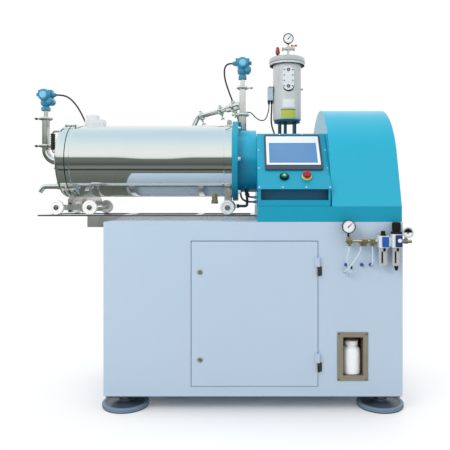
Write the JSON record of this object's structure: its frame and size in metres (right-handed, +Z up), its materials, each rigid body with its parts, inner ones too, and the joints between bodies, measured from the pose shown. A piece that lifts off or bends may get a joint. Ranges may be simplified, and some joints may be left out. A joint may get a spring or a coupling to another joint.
{
  "type": "pin-type bead mill",
  "caption": "Horizontal pin bead mill: pinned rotor in a cooled barrel on a rail trolley, belt drive in a cabinet, touch panel, seal tank and air unit.",
  "frame": {"origin": "on the floor at the middle of the cabinet, below the shaft axis", "axes": "+X along the shaft towards the belt drive, +Y away from the operator, +Z up"},
  "size_m": [1.927, 0.997, 1.938],
  "materials": {
    "cabinet_paint": "semi-gloss pale blue",
    "teal_paint": "gloss teal",
    "polished_steel": "mirror polished stainless",
    "pipe_steel": "fine ground stainless",
    "frame_steel": "satin stainless",
    "pad_steel": "blue-grey satin",
    "hammered_paint": "light grey hammered",
    "transmitter_paint": "gloss blue",
    "dark_steel": "machined steel",
    "hard_steel": "hardened and ground",
    "cast_grey": "painted casting",
    "belt_rubber": "matt",
    "nylon": "white nylon",
    "bottle_plastic": "milky white",
    "cap_plastic": "white",
    "screen": "lit display",
    "green_plastic": "translucent green",
    "red_plastic": "red",
    "brass_parts": "plated brass",
    "frl_plastic": "blue",
    "clear_bowl": "clear polycarbonate",
    "black_plastic": "black",
    "blue_fitting": "blue collar",
    "cable_sheath": "black sheath",
    "tube_plastic": "black polyurethane",
    "clear_tube": "translucent polyurethane",
    "gauge_case": "steel case, white dial",
    "lever_plastic": "red grip"
  },
  "bodies": {
    "machine": {"cabinet_shell": "cabinet_paint", "door_hinges": "frame_steel", "foot_pads": "pad_steel", "foot_spindles": "dark_steel", "niche_box": "frame_steel", "base_plinth": "teal_paint", "bearing_housing": "teal_paint", "neck_flange": "teal_paint", "console_box": "teal_paint", "belt_guard": "teal_paint", "hmi_panel": "screen", "motor": "cast_grey", "drive_belts": "belt_rubber", "bearing_outer_rings": "hard_steel", "mechanical_seal": "hard_steel", "slide_rails": "frame_steel", "neck_pipework": "pipe_steel", "neck_clamps": "pipe_steel", "neck_transmitter": "transmitter_paint", "tank_stand": "cast_grey", "tank_body": "hammered_paint", "tank_lid": "polished_steel", "tank_fittings": "brass_parts", "pressure_gauges": "gauge_case", "air_manifold": "brass_parts", "air_unit": "frl_plastic", "air_bowls": "clear_bowl", "air_bulkheads": "blue_fitting", "neck_cable": "cable_sheath", "tank_lines": "tube_plastic", "seal_hoses": "cable_sheath", "air_tubes": "clear_tube"},
    "rotor": {"main_shaft": "hard_steel", "bearing_inner_rings": "hard_steel", "pin_rotor": "hard_steel", "drive_pulley": "dark_steel"},
    "motor_rotor": {"motor_pulley": "dark_steel"},
    "barrel": {"barrel_shell": "polished_steel", "chamber_liner": "hard_steel", "static_pins": "hard_steel", "end_cover": "polished_steel", "separator_screen": "hard_steel", "trolley_frame": "frame_steel", "end_pipework": "pipe_steel", "barrel_clamps": "pipe_steel", "end_transmitter": "transmitter_paint", "barrel_cable": "cable_sheath", "cable_plug": "black_plastic"},
    "wheels_left": {"wheelset_left": "nylon"},
    "wheels_middle": {"wheelset_middle": "nylon"},
    "wheels_right": {"wheelset_right": "nylon"},
    "door": {"cabinet_door": "cabinet_paint"},
    "lock_lower": {"door_lock_lower": "frame_steel"},
    "lock_upper": {"door_lock_upper": "frame_steel"},
    "start": {"start_button": "green_plastic"},
    "estop": {"estop_button": "red_plastic"},
    "bottle": {"bottle": "bottle_plastic"},
    "cap": {"bottle_cap": "cap_plastic"},
    "cock_lever": {"tank_cock_lever": "lever_plastic"},
    "air_knob": {"regulator_knob": "black_plastic"}
  },
  "joints": [
    {"name": "rotor_spin", "type": "hinge", "parent": "machine", "child": "rotor", "pos_m": [0, 0, 1.202], "axis": [1, 0, 0], "continuous": true},
    {"name": "motor_spin", "type": "hinge", "parent": "machine", "child": "motor_rotor", "pos_m": [0.4, 0, 0.4], "axis": [1, 0, 0], "continuous": true},
    {"name": "barrel_roll", "type": "slide", "parent": "machine", "child": "barrel", "axis": [-1, 0, 0], "range_m": [0, 0.06]},
    {"name": "wheels_left_spin", "type": "hinge", "parent": "barrel", "child": "wheels_left", "pos_m": [-1.016, 0, 0.9508], "axis": [0, -1, 0], "range_deg": [0, 100]},
    {"name": "wheels_middle_spin", "type": "hinge", "parent": "barrel", "child": "wheels_middle", "pos_m": [-0.844, 0, 0.9508], "axis": [0, -1, 0], "range_deg": [0, 100]},
    {"name": "wheels_right_spin", "type": "hinge", "parent": "barrel", "child": "wheels_right", "pos_m": [-0.13, 0, 0.9508], "axis": [0, -1, 0], "range_deg": [0, 100]},
    {"name": "door_swing", "type": "hinge", "parent": "machine", "child": "door", "pos_m": [0.306, -0.459, 0.459], "axis": [0, 0, 1], "range_deg": [0, 110]},
    {"name": "lock_lower_turn", "type": "hinge", "parent": "door", "child": "lock_lower", "pos_m": [-0.248, -0.453, 0.245], "axis": [0, -1, 0], "range_deg": [0, 90]},
    {"name": "lock_upper_turn", "type": "hinge", "parent": "door", "child": "lock_upper", "pos_m": [-0.248, -0.453, 0.654], "axis": [0, -1, 0], "range_deg": [0, 90]},
    {"name": "start_push", "type": "slide", "parent": "machine", "child": "start", "axis": [0, 0.7606, -0.6493], "range_m": [0, 0.005], "stiffness_N_per_m": 300, "springref_m": -0.002},
    {"name": "estop_push", "type": "slide", "parent": "machine", "child": "estop", "axis": [0, 0.7606, -0.6493], "range_m": [0, 0.006], "stiffness_N_per_m": 600, "springref_m": -0.002},
    {"name": "bottle_slide", "type": "slide", "parent": "machine", "child": "bottle", "axis": [0, -1, 0], "range_m": [0, 0.2]},
    {"name": "cap_turn", "type": "hinge", "parent": "bottle", "child": "cap", "pos_m": [0.468, -0.401, 0.31], "axis": [0, 0, 1], "range_deg": [0, 540]},
    {"name": "cock_turn", "type": "hinge", "parent": "machine", "child": "cock_lever", "pos_m": [0.228, 0.11, 1.865], "axis": [0, 0, 1], "range_deg": [0, 90]},
    {"name": "air_knob_turn", "type": "hinge", "parent": "machine", "child": "air_knob", "pos_m": [0.662, -0.48, 0.86], "axis": [0, 0, 1], "range_deg": [-360, 360]}
  ],
  "couplings": [
    {"joint": "motor_spin", "follows": "rotor_spin", "ratio": 2.2},
    {"joint": "wheels_left_spin", "follows": "barrel_roll", "rad_per_m": 26.667},
    {"joint": "wheels_middle_spin", "follows": "barrel_roll", "rad_per_m": 26.667},
    {"joint": "wheels_right_spin", "follows": "barrel_roll", "rad_per_m": 26.667}
  ]
}
